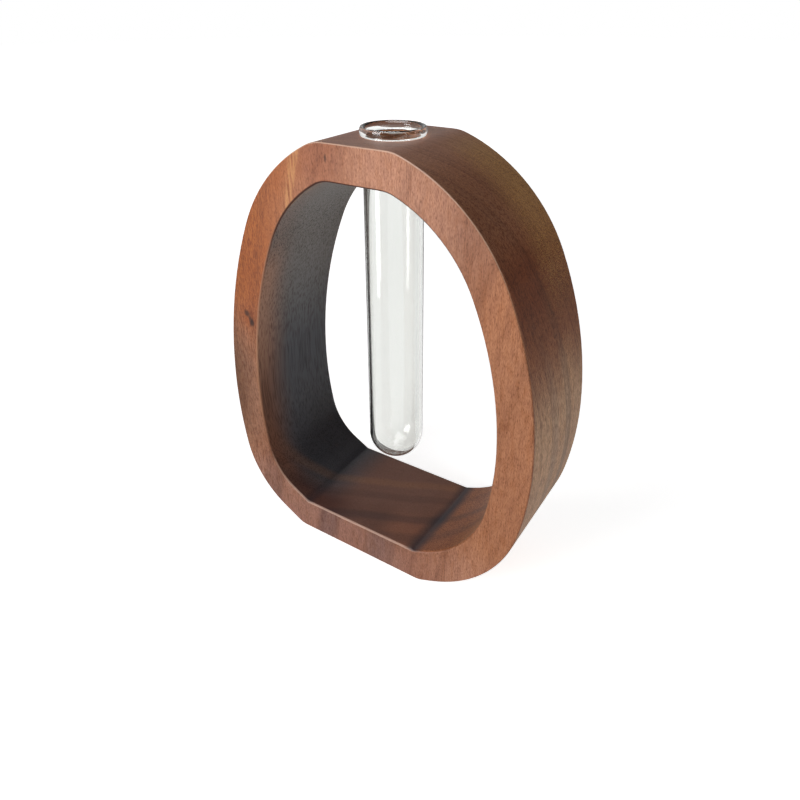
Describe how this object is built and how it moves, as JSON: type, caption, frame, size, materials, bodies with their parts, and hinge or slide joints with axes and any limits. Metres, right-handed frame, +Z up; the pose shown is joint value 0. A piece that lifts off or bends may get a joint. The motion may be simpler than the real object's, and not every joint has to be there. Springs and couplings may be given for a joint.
{
  "type": "test tube vase",
  "caption": "Rounded wooden ring that stands on edge as a frame, with a clear glass test tube hung by its lip through the flat crown to hold a cut stem in water.",
  "frame": {"origin": "on the ground, under the middle of the ring's box", "axes": "+Z up along the tube, +X across the ring's width, +Y through its depth with the front face towards -Y"},
  "size_m": [0.12, 0.04, 0.153],
  "materials": {
    "walnut": "sanded and oiled, satin",
    "clear_glass": "clear drawn glass, fire polished"
  },
  "bodies": {
    "frame": {"ring_frame": "walnut"},
    "tube": {"test_tube": "clear_glass"}
  },
  "joints": [
    {"name": "tube_lift", "type": "slide", "parent": "frame", "child": "tube", "axis": [0, 0, 1], "range_m": [0, 0.125]}
  ]
}
